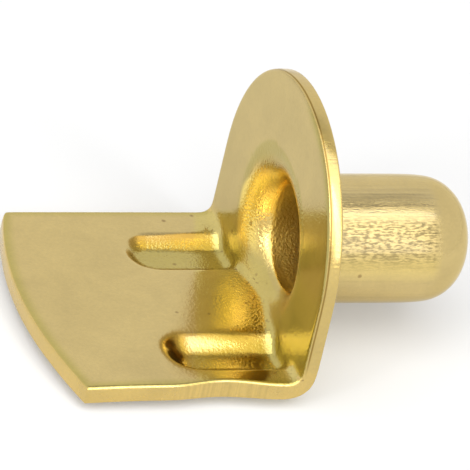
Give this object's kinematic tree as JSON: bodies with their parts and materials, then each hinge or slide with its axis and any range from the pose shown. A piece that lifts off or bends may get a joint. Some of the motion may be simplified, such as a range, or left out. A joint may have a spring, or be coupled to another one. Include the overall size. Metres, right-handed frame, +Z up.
{
  "type": "shelf support pin",
  "caption": "Pressed brass shelf support: a hollow drawn pin for a cabinet hole, an arched flange and a flat ribbed tongue that the shelf rests on.",
  "frame": {"origin": "on the pin's axis, in the plane of the flange's outer face", "axes": "+X along the pin to its tip, +Z up, the shelf tongue reaches out towards -X"},
  "size_m": [0.0221, 0.0152, 0.0133],
  "materials": {
    "brass_plate": "polished, slightly satin brass with draw lines on the pin"
  },
  "bodies": {
    "root": {"shelf_support_pin": "brass_plate"}
  },
  "joints": []
}
